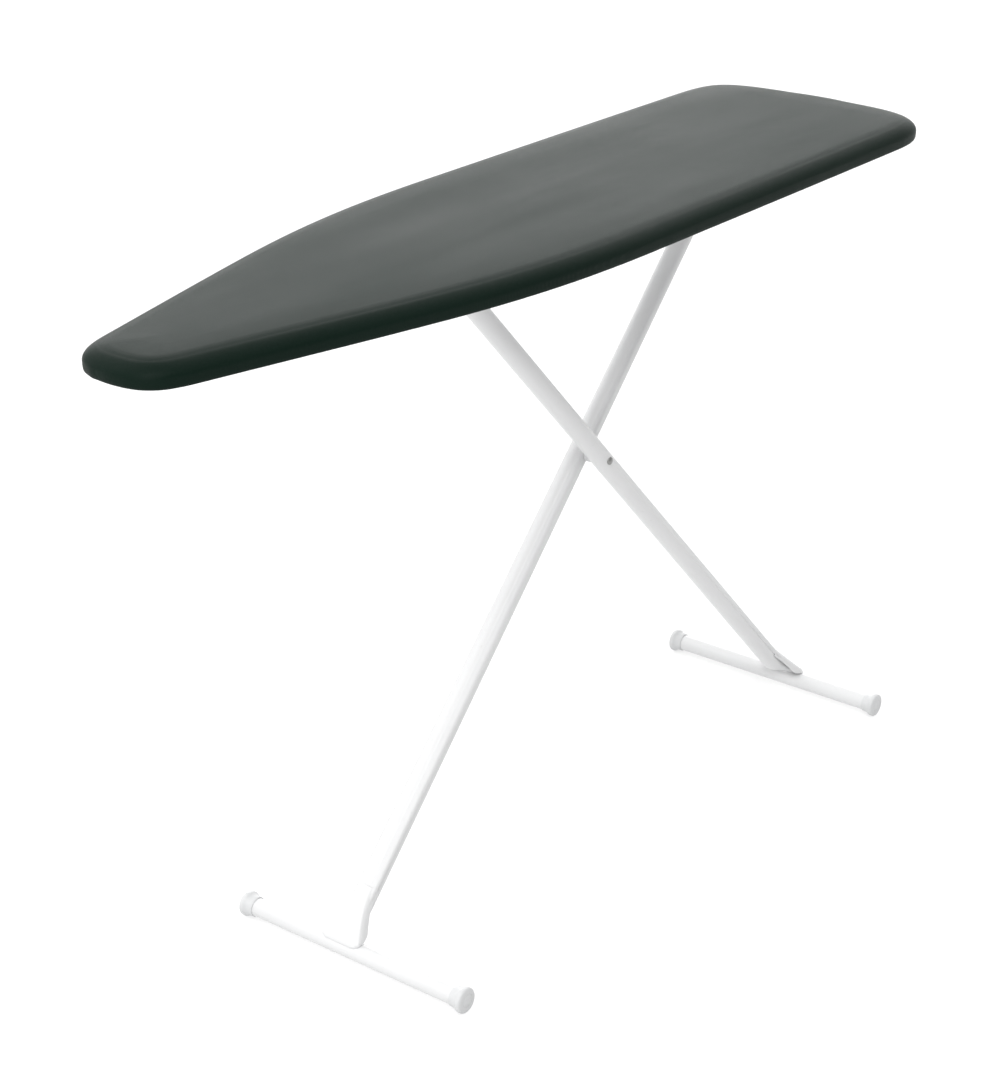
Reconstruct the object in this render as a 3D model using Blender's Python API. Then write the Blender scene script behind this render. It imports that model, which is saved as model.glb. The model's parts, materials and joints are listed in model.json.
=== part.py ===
"""A folding T-leg ironing board, standing at full height.

Metres, +Z up. The origin is on the floor under the middle of the board: the nose points to -X, the square
tail to +X, and the board is symmetric about y = 0. The front leg hinges in a bracket near the tail and
stands under the nose; the rear leg's top pin slides in a track near the nose and stands under the tail.
"""

import math

import bmesh
import bpy
from mathutils import Matrix, Vector

# Driving sizes ----------------------------------------------------------------------------------------
BOARD_LENGTH = 1.372
TOP_Z = 0.889
HEM_Z = 0.8584

PIVOT_X = 0.1387
PIVOT_Z = 0.5208
FOOT_SPREAD = 0.4802
FOOT_Z = 0.0165
PIN_Z = 0.856
FOLD_LIMIT = math.radians(45)

REAR_LEG_Y = -0.019
FRONT_LEG_Y = 0.017
LEG_RADIUS = 0.0133
LEG_WALL = 0.0012
LEG_PAST_PIN = 0.008
LEG_START = 0.006
FOOT_RADIUS = 0.0119
FOOT_WALL = 0.0012
FOOT_HALF = 0.1711
CAP_RADIUS = FOOT_Z

PIN_RADIUS = 0.004
PIN_HOLE = 0.0043
GAP = 0.0003

# Board edge, as insets from the cover's outline -------------------------------------------------------
EDGE_ROUND_X = 0.016
EDGE_ROUND_Z = 0.015
COVER_THICK = 0.0011
HEM_INSET = 0.020
RIM_INSET = 0.003
RIM_LIP = 0.014
RIM_BOTTOM = 0.8602
RIM_TOP = 0.8808
SHEET = 0.001
PANEL_INSET = 0.0062
PANEL_Z = 0.8785
PAD_SHRINK = 0.0017
PAD_EDGE_Z = 0.8812
PAD_BOTTOM_Z = 0.8799
VENT_RADIUS = 0.010
VENT_STEP = 0.11
VENT_ROW = 0.055

# Brackets under the panel -----------------------------------------------------------------------------
BRACE_CROWN_Z = 0.8745
BRACE_TOP_Z = 0.8782
BRACE_CROWN = 0.040
BRACE_FLANGE = 0.012
BRACE_END_INSET = 0.020
BRACKET_THICK = 0.0015
WEB_TOP_Z = 0.8742
TRACK_HALF = 0.0152
TRACK_BOTTOM_Z = 0.844
TRACK_END = 0.026
SLOT_HALF = 0.0059
NOTCH_COUNT = 6
NOTCH_STEP = 0.020
HINGE_HALF = 0.0142
HINGE_THICK = 0.002
HINGE_LENGTH = 0.070
RIVET_RADIUS = 0.0021
RIVET_HEAD = 0.0038
ROLLER_RADIUS = 0.0055
CLIP_RADIUS = 0.007
CLIP_THICK = 0.0013

LEVER_X = -0.140
LEVER_Y = -0.060
LEVER_Z = 0.8655
LEVER_HALF = 0.010
LEVER_THICK = 0.0025
LEVER_PIN = 0.0025

# What the sizes above lead to -------------------------------------------------------------------------
LEG_ANGLE = math.atan2(PIVOT_Z - FOOT_Z, FOOT_SPREAD)
ARM = (PIN_Z - PIVOT_Z) / math.sin(LEG_ANGLE)
LEG_LENGTH = (PIN_Z - FOOT_Z) / math.sin(LEG_ANGLE)
HINGE_X = PIVOT_X + ARM * math.cos(LEG_ANGLE)
SLIDE_X = PIVOT_X - ARM * math.cos(LEG_ANGLE)
SLIDE_FOLDED_X = HINGE_X - 2 * ARM * math.cos(LEG_ANGLE - FOLD_LIMIT)
FRONT_FOOT_X = PIVOT_X - FOOT_SPREAD
REAR_FOOT_X = PIVOT_X + FOOT_SPREAD
TRACK_START_X = SLIDE_FOLDED_X - TRACK_END
TRACK_STOP_X = SLIDE_X + TRACK_END + 0.012
FRONT_BRACE_X = SLIDE_FOLDED_X - 0.016
MIDDLE_BRACE_X = SLIDE_X + 0.031


# Scene and mesh helpers -------------------------------------------------------------------------------
def clear_scene():
    for old in list(bpy.data.objects):
        bpy.data.objects.remove(old, do_unlink=True)


def material(name, colour, roughness, metallic=0.0):
    made = bpy.data.materials.new(name)
    made.use_nodes = True
    shader = made.node_tree.nodes["Principled BSDF"]
    shader.inputs["Base Color"].default_value = (*colour, 1.0)
    shader.inputs["Roughness"].default_value = roughness
    shader.inputs["Metallic"].default_value = metallic
    return made


def add_object(name, bm, finish, parent=None):
    """An object from a bmesh in world coordinates; a parent empty only carries it."""
    bmesh.ops.recalc_face_normals(bm, faces=bm.faces)
    mesh = bpy.data.meshes.new(name)
    bm.to_mesh(mesh)
    bm.free()
    mesh.shade_smooth()
    mesh.set_sharp_from_angle(angle=math.radians(35))
    made = bpy.data.objects.new(name, mesh)
    bpy.context.scene.collection.objects.link(made)
    if finish:
        mesh.materials.append(finish)
    if parent:
        made.data.transform(Matrix.Translation(-parent.location))
        made.parent = parent
    return made


def add_pivot(name, x, y, z):
    empty = bpy.data.objects.new(name, None)
    empty.empty_display_size = 0.05
    empty.location = (x, y, z)
    bpy.context.scene.collection.objects.link(empty)
    return empty


def boolean(target, tool, operation="DIFFERENCE"):
    """Cuts with, or joins on, a helper that is left out of the part."""
    tool.hide_render = True
    tool.display_type = "WIRE"
    step = target.modifiers.new(tool.name, "BOOLEAN")
    step.operation = operation
    step.object = tool


def loft(rings, closed_loop=False):
    """A closed skin through rings of equal point counts, capped at both ends or joined end to end."""
    bm = bmesh.new()
    rows = [[bm.verts.new(point) for point in ring] for ring in rings]
    count = len(rows[0])
    pairs = list(zip(rows, rows[1:]))
    if closed_loop:
        pairs.append((rows[-1], rows[0]))
    for low, high in pairs:
        for i in range(count):
            j = (i + 1) % count
            bm.faces.new((low[i], low[j], high[j], high[i]))
    if not closed_loop:
        bm.faces.new(list(reversed(rows[0])))
        bm.faces.new(rows[-1])
    return bm


def prism(outline, along, start, stop):
    """A flat outline of (a, b) pairs pushed along one world axis: a, b are the other two in X, Y, Z order."""
    place = {
        "X": lambda a, b, t: (t, a, b),
        "Y": lambda a, b, t: (a, t, b),
        "Z": lambda a, b, t: (a, b, t),
    }[along]
    return loft([[place(a, b, t) for a, b in outline] for t in (start, stop)])


def turned(profile, sides, centre, axis):
    """A body turned from (radius, distance) pairs; the outline runs back to its first point unless both ends
    are on the axis, so a profile off the axis makes a ring and one that returns inside makes a cup."""
    turn = Vector((0, 0, 1)).rotation_difference(Vector(axis)).to_matrix()
    bm = bmesh.new()
    rows = []
    for radius, distance in profile:
        row = []
        for i in range(sides if radius else 1):
            angle = 2 * math.pi * (i / sides + 0.25)
            spot = Vector((radius * math.cos(angle), radius * math.sin(angle), distance))
            row.append(bm.verts.new(turn @ spot + Vector(centre)))
        rows.append(row)
    for low, high in zip(rows, rows[1:] + rows[:1]):
        if len(low) == len(high) == 1:
            continue
        for i in range(sides):
            j = (i + 1) % sides
            corners = [low[i % len(low)], low[j % len(low)], high[j % len(high)], high[i % len(high)]]
            bm.faces.new(list(dict.fromkeys(corners)))
    return bm


def cylinder(radius, start, stop, sides=16):
    """A plain round bar from one point to another."""
    start, stop = Vector(start), Vector(stop)
    length = (stop - start).length
    return turned([(0, 0), (radius, 0), (radius, length), (0, length)], sides, start, stop - start)


def pipe(outer, inner, start, stop, sides):
    """An open-ended tube from one point to another."""
    start, stop = Vector(start), Vector(stop)
    length = (stop - start).length
    ring = [(outer, 0), (outer, length), (inner, length), (inner, 0)]
    return turned(ring, sides, start, stop - start)


def ring_on_y(outer, inner, x, z, y_start, y_stop, sides=16):
    return pipe(outer, inner, (x, y_start, z), (x, y_stop, z), sides)


def strip(path, thickness):
    """The outline of sheet metal bent along a path of (a, b) pairs, thickened to its left."""
    points = [Vector(point) for point in path]
    edges = [(b - a).normalized() for a, b in zip(points, points[1:])]
    offset = []
    for i, point in enumerate(points):
        before = edges[max(i - 1, 0)]
        after = edges[min(i, len(edges) - 1)]
        mitre = (before + after).normalized()
        side = Vector((-mitre.y, mitre.x))
        offset.append(point + side * thickness / mitre.dot(after))
    return [tuple(p) for p in points] + [tuple(p) for p in reversed(offset)]


# The board's outline ----------------------------------------------------------------------------------
# Anchors of one side, from the nose to the middle of the tail: distance from the nose, half width, the
# direction of travel, and the handle lengths of the curve before and after the anchor.
EDGE_ANCHORS = (
    (0.000, 0.0000, (0.0, 1.0), 0.000, 0.060),
    (0.075, 0.0755, (1.0, 0.25), 0.045, 0.080),
    (0.330, 0.1385, (1.0, 0.235), 0.080, 0.123),
    (0.700, 0.1810, (1.0, 0.0), 0.150, 0.180),
    (1.255, 0.1800, (1.0, -0.006), 0.220, 0.080),
    (1.368, 0.0620, (0.05, -1.0), 0.100, 0.032),
    (1.372, 0.0000, (0.0, -1.0), 0.030, 0.000),
)
EDGE_STEPS = (8, 3, 5, 4, 8, 2)


def edge_samples():
    """Points of the right-hand side with their outward normals, nose and tail middle included."""
    samples = []
    spans = zip(EDGE_ANCHORS, EDGE_ANCHORS[1:], EDGE_STEPS)
    for (x0, y0, d0, _, reach0), (x1, y1, d1, reach1, _), steps in spans:
        start, stop = Vector((x0, y0)), Vector((x1, y1))
        pull = start + Vector(d0).normalized() * reach0
        push = stop - Vector(d1).normalized() * reach1
        for i in range(steps + (x1 == BOARD_LENGTH)):
            t = i / steps
            s = 1 - t
            point = s**3 * start + 3 * s * s * t * pull + 3 * s * t * t * push + t**3 * stop
            slope = s * s * (pull - start) + 2 * s * t * (push - pull) + t * t * (stop - push)
            slope.normalize()
            samples.append((point, Vector((-slope.y, slope.x))))
    return samples


def board_ring(inset, z):
    """The whole outline, moved inwards, as a loop of points at one height."""
    middle = BOARD_LENGTH / 2
    side = [point - normal * inset for point, normal in edge_samples()]
    right = [(p.x - middle, p.y, z) for p in side]
    left = [(x, -y, z) for x, y, z in reversed(right[1:-1])]
    return right + left


def half_width(x, inset=0.0):
    """The board's half width at a world x, read along the sampled edge."""
    ring = board_ring(inset, 0.0)
    side = ring[: len(edge_samples())]
    for (xa, ya, _), (xb, yb, _) in zip(side, side[1:]):
        if xa <= x <= xb:
            return ya + (yb - ya) * (x - xa) / max(xb - xa, 1e-9)
    return 0.0


# The board's own pieces -------------------------------------------------------------------------------
def rounded_edge(shrink, start_angle, steps):
    """Rings over the board's rounded top edge, from the side up to the flat."""
    rings = []
    for i in range(steps + 1):
        angle = start_angle + (math.pi / 2 - start_angle) * i / steps
        inset = EDGE_ROUND_X - (EDGE_ROUND_X - shrink) * math.cos(angle)
        z = TOP_Z - EDGE_ROUND_Z + (EDGE_ROUND_Z - shrink) * math.sin(angle)
        rings.append(board_ring(inset, z))
    return rings


def make_cover(finish):
    tuck = ((0.006, HEM_Z), (0.0030, HEM_Z + 0.0005), (0.0008, HEM_Z + 0.0024), (0.0, HEM_Z + 0.0056))
    outside = [board_ring(HEM_INSET, HEM_Z)]
    outside += [board_ring(inset, z) for inset, z in tuck]
    outside += rounded_edge(0.0, 0.0, 5)
    inner_tuck = ((0.0, 0.0), (0.0004, 0.0011), (0.0007, 0.0009), (COVER_THICK, 0.0004))
    inside = [board_ring(HEM_INSET, HEM_Z + COVER_THICK)]
    inside += [
        board_ring(inset + shift, z + max(COVER_THICK - rise, 0.0))
        for (inset, z), (shift, rise) in zip(tuck, inner_tuck)
    ]
    inside += rounded_edge(COVER_THICK, 0.0, 5)
    return add_object("cover", loft(list(reversed(outside)) + inside), finish)


def make_pad(finish):
    start = math.asin((PAD_EDGE_Z - TOP_Z + EDGE_ROUND_Z) / (EDGE_ROUND_Z - PAD_SHRINK))
    rings = [
        board_ring(RIM_LIP + 0.0015, PAD_BOTTOM_Z),
        board_ring(RIM_LIP, PAD_EDGE_Z),
    ]
    rings += rounded_edge(PAD_SHRINK, start, 4)
    return add_object("pad", loft(rings), finish)


def make_top_panel(finish):
    rings = [board_ring(PANEL_INSET, z) for z in (PANEL_Z, PANEL_Z + SHEET)]
    panel = add_object("top_panel", loft(rings), finish)
    vents = bmesh.new()
    for row in range(-2, 3):
        y = row * VENT_ROW
        stagger = VENT_STEP / 2 if row % 2 else 0.0
        for column in range(-6, 7):
            x = column * VENT_STEP + stagger
            if half_width(x, 0.035) < abs(y):
                continue
            hexagon = {"segments": 6, "radius1": VENT_RADIUS, "radius2": VENT_RADIUS, "depth": 0.01}
            place = Matrix.Translation((x, y, PANEL_Z))
            bmesh.ops.create_cone(vents, cap_ends=True, matrix=place, **hexagon)
    boolean(panel, add_object("vent_cutter", vents, None))
    return panel


def make_edge_rim(finish):
    """A rolled channel that opens inwards, over and under the panel's edge."""
    bend = RIM_INSET + 0.002
    path = (
        (RIM_LIP, RIM_BOTTOM + SHEET),
        (bend + 0.0004, RIM_BOTTOM + SHEET),
        (RIM_INSET + SHEET, RIM_BOTTOM + 0.0032),
        (RIM_INSET + SHEET, RIM_TOP - 0.0038),
        (bend + 0.0004, RIM_TOP - SHEET),
        (RIM_LIP - 0.001, RIM_TOP - SHEET),
        (RIM_LIP - 0.001, RIM_TOP),
        (bend, RIM_TOP),
        (RIM_INSET, RIM_TOP - 0.0034),
        (RIM_INSET, RIM_BOTTOM + 0.0028),
        (bend, RIM_BOTTOM),
        (RIM_LIP, RIM_BOTTOM),
    )
    rings = [board_ring(inset, z) for inset, z in path]
    return add_object("edge_rim", loft(rings, closed_loop=True), finish)


def make_brace(name, x, rivets, finish):
    """A shallow hat-section strip across the board: its crown hangs down for the brackets."""
    half = BRACE_CROWN / 2
    path = (
        (x - half - 0.004 - BRACE_FLANGE, BRACE_TOP_Z - SHEET),
        (x - half - 0.004, BRACE_TOP_Z - SHEET),
        (x - half, BRACE_CROWN_Z),
        (x + half, BRACE_CROWN_Z),
        (x + half + 0.004, BRACE_TOP_Z - SHEET),
        (x + half + 0.004 + BRACE_FLANGE, BRACE_TOP_Z - SHEET),
    )
    reach = min(half_width(x - half), half_width(x + half)) - BRACE_END_INSET
    brace = add_object(name, prism(strip(path, SHEET), "Y", -reach, reach), finish)
    cut_rivet_holes(brace, rivets)
    return brace


def cut_rivet_holes(target, spots):
    for i, (x, y) in enumerate(spots):
        drill = cylinder(RIVET_RADIUS + GAP, (x, y, 0.86), (x, y, 0.90), 8)
        boolean(target, add_object(f"{target.name}_drill_{i + 1}", drill, None))


def make_rivet(name, spot, finish):
    """A rivet through a bracket's web and a brace's crown, with a low head on each side."""
    x, y = spot
    under = WEB_TOP_Z - BRACKET_THICK - GAP
    over = BRACE_CROWN_Z + SHEET + GAP
    profile = [
        (0, under - 0.0014),
        (RIVET_HEAD * 0.7, under - 0.0012),
        (RIVET_HEAD, under),
        (RIVET_RADIUS, under),
        (RIVET_RADIUS, over),
        (RIVET_HEAD * 0.9, over),
        (RIVET_HEAD * 0.6, over + 0.0010),
        (0, over + 0.0012),
    ]
    return add_object(name, turned(profile, 10, (x, y, 0), (0, 0, 1)), finish)


def channel(half, thickness, y, bottom_z):
    """A downward channel's section in Y and Z, outer faces first."""
    return (
        (y - half - thickness, bottom_z),
        (y - half - thickness, WEB_TOP_Z),
        (y + half + thickness, WEB_TOP_Z),
        (y + half + thickness, bottom_z),
        (y + half, bottom_z),
        (y + half, WEB_TOP_Z - BRACKET_THICK),
        (y - half, WEB_TOP_Z - BRACKET_THICK),
        (y - half, bottom_z),
    )


def slot_outline(start_x, stop_x, z, radius, steps=6):
    """A straight slot with round ends, in X and Z."""
    ends = ((stop_x, -math.pi / 2), (start_x, math.pi / 2))
    outline = []
    for x, first in ends:
        for i in range(steps + 1):
            angle = first + math.pi * i / steps
            outline.append((x + radius * math.cos(angle), z + radius * math.sin(angle)))
    return outline


def make_slide_track(rivets, finish):
    section = channel(TRACK_HALF, BRACKET_THICK, REAR_LEG_Y, TRACK_BOTTOM_Z)
    track = add_object("slide_track", prism(section, "X", TRACK_START_X, TRACK_STOP_X), finish)
    outline = slot_outline(SLIDE_FOLDED_X, SLIDE_X, PIN_Z, SLOT_HALF)
    reach = TRACK_HALF + 0.005
    span = (REAR_LEG_Y - reach, REAR_LEG_Y + reach)
    boolean(track, add_object("slot_cutter", prism(outline, "Y", *span), None))
    for i in range(NOTCH_COUNT):
        x = SLIDE_X - 0.004 - i * NOTCH_STEP
        top = PIN_Z + SLOT_HALF + 0.0032
        notch = ((x - 0.006, PIN_Z), (x + 0.002, PIN_Z), (x + 0.004, top), (x - 0.004, top))
        boolean(track, add_object(f"notch_cutter_{i + 1}", prism(notch, "Y", *span), None))
    cut_rivet_holes(track, rivets)
    return track


def make_hinge_bracket(rivets, finish):
    section = channel(HINGE_HALF, HINGE_THICK, FRONT_LEG_Y, PIN_Z - 0.011)
    start = HINGE_X - HINGE_LENGTH / 2
    bracket = add_object("hinge_bracket", prism(section, "X", start, start + HINGE_LENGTH), finish)
    low = PIN_Z - 0.012
    high = PIN_Z + 0.010
    for i, side in enumerate((-1, 1)):
        near = HINGE_X + side * 0.012
        far = HINGE_X + side * (HINGE_LENGTH / 2 + 0.001)
        trim = ((near, low), (far, low), (far, high)) if side > 0 else ((far, low), (near, low), (far, high))
        span = (FRONT_LEG_Y - 0.020, FRONT_LEG_Y + 0.020)
        boolean(bracket, add_object(f"ear_trim_{i + 1}", prism(trim, "Y", *span), None))
    cut_rivet_holes(bracket, rivets)
    drill_y(bracket, HINGE_X, PIN_Z, PIN_HOLE, FRONT_LEG_Y - 0.02, FRONT_LEG_Y + 0.02)
    return bracket


def drill_y(target, x, z, radius, start, stop):
    bar = cylinder(radius, (x, start, z), (x, stop, z), 14)
    boolean(target, add_object(f"{target.name}_drill_{round(x * 1000)}", bar, None))


def make_pin(name, x, z, start, stop, head, finish, parent=None):
    """A straight pin along Y; head is the thickness of the low head at its start, or 0 for none."""
    length = stop - start
    body = [(0, 0), (PIN_RADIUS - 0.0005, 0), (PIN_RADIUS, 0.0005)]
    if head:
        body = [(0, 0), (CLIP_RADIUS - 0.001, 0), (CLIP_RADIUS, 0.0006)]
        body += [(CLIP_RADIUS, head), (PIN_RADIUS, head)]
    body += [(PIN_RADIUS, length - 0.0005), (PIN_RADIUS - 0.0005, length), (0, length)]
    return add_object(name, turned(body, 16, (x, start, z), (0, 1, 0)), finish, parent)


def make_clip(name, x, z, start, finish, parent=None):
    """A push-on clip: a dished washer that grips a pin's end."""
    grip = PIN_RADIUS + GAP
    profile = [
        (grip, 0.0),
        (CLIP_RADIUS, 0.0),
        (CLIP_RADIUS, CLIP_THICK * 0.6),
        (grip + 0.0012, CLIP_THICK),
        (grip, CLIP_THICK),
    ]
    return add_object(name, turned(profile, 16, (x, start, z), (0, 1, 0)), finish, parent)


# The height lever -------------------------------------------------------------------------------------
def make_lever_bracket(finish):
    ear = LEVER_HALF + 0.002
    bottom = LEVER_Z - 0.006
    path = (
        (LEVER_X - ear - BRACKET_THICK, bottom),
        (LEVER_X - ear - BRACKET_THICK, WEB_TOP_Z),
        (LEVER_X + ear + BRACKET_THICK, WEB_TOP_Z),
        (LEVER_X + ear + BRACKET_THICK, bottom),
        (LEVER_X + ear, bottom),
        (LEVER_X + ear, WEB_TOP_Z - SHEET),
        (LEVER_X - ear, WEB_TOP_Z - SHEET),
        (LEVER_X - ear, bottom),
    )
    bracket = add_object("lever_bracket", prism(path, "Y", LEVER_Y - 0.009, LEVER_Y + 0.009), finish)
    reach = LEVER_HALF + 0.010
    ends = ((LEVER_X - reach, LEVER_Y, LEVER_Z), (LEVER_X + reach, LEVER_Y, LEVER_Z))
    boolean(bracket, add_object("lever_ear_drill", cylinder(LEVER_PIN + GAP, *ends, 12), None))
    return bracket


def make_lever_pin(finish):
    start = LEVER_X - LEVER_HALF - 0.0060
    length = 2 * (LEVER_HALF + 0.0060) + 0.0085
    profile = [
        (0, 0),
        (LEVER_PIN + 0.0014, 0),
        (LEVER_PIN + 0.0014, 0.0015),
        (LEVER_PIN, 0.0015),
        (LEVER_PIN, length),
        (0, length),
    ]
    return add_object("lever_pin", turned(profile, 12, (start, LEVER_Y, LEVER_Z), (1, 0, 0)), finish)


def make_lever_spring(finish):
    """A torsion spring of four turns on the lever pin, one end against the brace, one on the lever's side."""
    turns, steps = 4, 8
    radius, wire, pitch = 0.0042, 0.0006, 0.0016
    start_x = LEVER_X + LEVER_HALF + 0.0050
    points = [(start_x, LEVER_Y + radius, LEVER_Z + 0.0068)]
    for i in range(turns * steps + 1):
        angle = -2 * math.pi * i / steps
        x = start_x + pitch * i / steps
        points.append((x, LEVER_Y + radius * math.cos(angle), LEVER_Z + radius * math.sin(angle)))
    points.append((start_x + pitch * turns, LEVER_Y + radius, LEVER_Z - 0.0080))
    curve = bpy.data.curves.new("lever_spring", "CURVE")
    curve.dimensions = "3D"
    curve.bevel_depth = wire
    curve.bevel_resolution = 1
    curve.use_fill_caps = True
    line = curve.splines.new("POLY")
    line.points.add(len(points) - 1)
    for spot, point in zip(line.points, points):
        spot.co = (*point, 1.0)
    made = bpy.data.objects.new("lever_spring", curve)
    curve.materials.append(finish)
    bpy.context.scene.collection.objects.link(made)
    return made


def make_lever(finish, grip_finish, pivot):
    """A strap that rocks on its pin: a tooth beside the track inside, a grip towards the rim outside."""
    tooth_y = -0.0415
    half = LEVER_THICK / 2
    strap = (
        (tooth_y - LEVER_THICK, LEVER_Z - half),
        (LEVER_Y - 0.010, LEVER_Z - half),
        (LEVER_Y - 0.042, LEVER_Z - half - 0.012),
        (LEVER_Y - 0.088, LEVER_Z - half - 0.014),
    )
    body = prism(strip(strap[::-1], LEVER_THICK), "X", LEVER_X - LEVER_HALF, LEVER_X + LEVER_HALF)
    lever = add_object("height_lever", body, finish, pivot)
    hook_start = SLIDE_X - 0.020
    tooth = (
        (tooth_y - LEVER_THICK, PIN_Z - 0.006),
        (tooth_y, PIN_Z - 0.006),
        (tooth_y, LEVER_Z + half),
        (tooth_y - LEVER_THICK, LEVER_Z + half),
    )
    tooth_mesh = prism(tooth, "X", hook_start, LEVER_X + LEVER_HALF - 0.001)
    boolean(lever, add_object("lever_tooth", tooth_mesh, None, pivot), "UNION")
    hook = ((hook_start + 0.012, PIN_Z - 0.007), (LEVER_X + LEVER_HALF, PIN_Z - 0.007))
    hook += ((LEVER_X + LEVER_HALF, PIN_Z + 0.004), (hook_start + 0.012, PIN_Z + 0.004))
    relief = prism(hook, "Y", tooth_y - LEVER_THICK - 0.001, tooth_y + 0.001)
    boolean(lever, add_object("lever_hook_relief", relief, None, pivot))
    ends = [(LEVER_X + side * LEVER_HALF * 0.98, LEVER_Y, LEVER_Z) for side in (-1, 1)]
    boolean(lever, add_object("lever_hub", cylinder(0.0052, *ends, 14), None, pivot), "UNION")
    drill = [(LEVER_X + side * 0.02, LEVER_Y, LEVER_Z) for side in (-1, 1)]
    boolean(lever, add_object("lever_hub_drill", cylinder(LEVER_PIN + GAP, *drill, 12), None, pivot))
    make_lever_grip(strap, grip_finish, pivot)
    return lever


def make_lever_grip(strap, finish, pivot):
    """A moulded sleeve over the outer end of the strap, closed at its tip."""
    (y_in, z_in), (y_out, z_out) = strap[2], strap[3]
    slope = (z_out - z_in) / (y_out - y_in)
    half = LEVER_HALF + GAP
    wall = 0.0022

    def ring(y, half_x, over):
        z = z_in + slope * (y - y_in) + LEVER_THICK / 2
        top = LEVER_THICK / 2 + over
        cut = min(over, 0.0018)
        corners = ((-half_x, -top + cut), (-half_x + cut, -top), (half_x - cut, -top), (half_x, -top + cut))
        corners += ((half_x, top - cut), (half_x - cut, top), (-half_x + cut, top), (-half_x, top - cut))
        return [(LEVER_X + x, y, z + rise) for x, rise in corners]

    mouth = y_in - 0.006
    end = y_out - GAP
    rings = [
        ring(end, half, GAP),
        ring(mouth, half, GAP),
        ring(mouth, half + wall * 0.6, GAP + wall * 0.6),
        ring(mouth - 0.003, half + wall, GAP + wall),
        ring(end + 0.002, half + wall + 0.001, GAP + wall + 0.0006),
        ring(end - 0.0022, half + wall * 0.4, GAP + wall * 0.3),
    ]
    return add_object("lever_grip", loft(rings), finish, pivot)


# Legs -------------------------------------------------------------------------------------------------
def leg_frame(foot_x, y, lean):
    """The foot's centre, the direction up the leg and its outer side; lean is the sign of the leg's X run."""
    up = Vector((lean * math.cos(LEG_ANGLE), 0, math.sin(LEG_ANGLE)))
    outer = Vector((-lean * math.sin(LEG_ANGLE), 0, math.cos(LEG_ANGLE)))
    return Vector((foot_x, y, FOOT_Z)), up, outer


def make_leg_tube(name, frame, pin_x, y, finish, pivot):
    foot, up, _ = frame
    bottom = foot + up * LEG_START
    top = foot + up * (LEG_LENGTH + LEG_PAST_PIN)
    tube = add_object(name, pipe(LEG_RADIUS, LEG_RADIUS - LEG_WALL, bottom, top, 20), finish, pivot)
    reach = LEG_RADIUS + 0.004
    cope = cylinder(FOOT_RADIUS + GAP, (foot.x, y - reach, FOOT_Z), (foot.x, y + reach, FOOT_Z), 24)
    boolean(tube, add_object(f"{name}_cope", cope, None))
    drill_y(tube, pin_x, PIN_Z, PIN_HOLE, y - reach, y + reach)
    drill_y(tube, PIVOT_X, PIVOT_Z, PIN_HOLE, y - reach, y + reach)
    return tube


def make_foot_tube(name, x, finish, pivot):
    tube = pipe(FOOT_RADIUS, FOOT_RADIUS - FOOT_WALL, (x, -FOOT_HALF, FOOT_Z), (x, FOOT_HALF, FOOT_Z), 20)
    return add_object(name, tube, finish, pivot)


def make_cap(name, x, side, finish, pivot):
    """A mushroom-shaped moulding: a sleeve over the tube's end that flares to the disc it stands on."""
    socket = FOOT_RADIUS + GAP
    profile = [
        (socket, 0.1600),
        (0.0131, 0.1600),
        (0.0134, 0.1650),
        (0.0142, 0.1688),
        (0.0157, 0.1710),
        (CAP_RADIUS, 0.1728),
        (CAP_RADIUS, 0.1768),
        (0.0154, 0.1788),
        (0.0085, 0.1796),
        (0, 0.1798),
        (0, FOOT_HALF + GAP),
        (socket, FOOT_HALF + GAP),
    ]
    return add_object(name, turned(profile, 24, (x, 0, FOOT_Z), (0, side, 0)), finish, pivot)


# Stations of the gusset up the leg from the foot's centre: height, the plate's distance from the leg's
# axis, the half width of its flat, its half width over the folded edges, and how far they reach back.
GUSSET_STATIONS = (
    (-0.0080, 0.0104, 0.0095, 0.0115, 0.0005),
    (-0.0040, 0.0124, 0.0165, 0.0185, 0.0006),
    (0.0000, 0.0132, 0.0215, 0.0240, 0.0008),
    (0.0040, 0.0139, 0.0245, 0.0278, 0.0018),
    (0.0080, 0.0140, 0.0252, 0.0295, 0.0040),
    (0.0140, 0.0140, 0.0232, 0.0288, 0.0080),
    (0.0235, 0.0140, 0.0192, 0.0258, 0.0120),
    (0.0350, 0.0140, 0.0145, 0.0215, 0.0110),
    (0.0500, 0.0140, 0.0083, 0.0172, 0.0080),
    (0.0620, 0.0140, 0.0036, 0.0152, 0.0065),
    (0.0700, 0.0140, 0.0010, 0.0148, 0.0060),
    (0.0780, 0.0140, 0.0008, 0.0148, 0.0055),
)
GUSSET_THICK = 0.0014
GUSSET_CORNER = 3


def fold(flat, half, out, depth):
    """A quarter ellipse from the end of the plate's flat to the back of its folded edge."""
    corner = []
    for i in range(GUSSET_CORNER + 1):
        angle = math.pi / 2 * i / GUSSET_CORNER
        corner.append((flat + (half - flat) * math.sin(angle), out - depth + depth * math.cos(angle)))
    return corner


def make_gusset(name, frame, finish, pivot):
    """A stamped fan over the outer side of leg and foot that narrows to a saddle round the tube."""
    foot, up, outer = frame
    side = Vector((0, 1, 0))
    rings = []
    for height, out, flat, half, depth in GUSSET_STATIONS:
        face = fold(flat, half + GUSSET_THICK, out + GUSSET_THICK, depth + GUSSET_THICK)
        back = fold(flat, half, out, depth)
        section = [(-v, w) for v, w in reversed(face)] + face
        section += list(reversed(back)) + [(-v, w) for v, w in back]
        rings.append([foot + up * height + side * v + outer * w for v, w in section])
    return add_object(name, loft(rings), finish, pivot)


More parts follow.
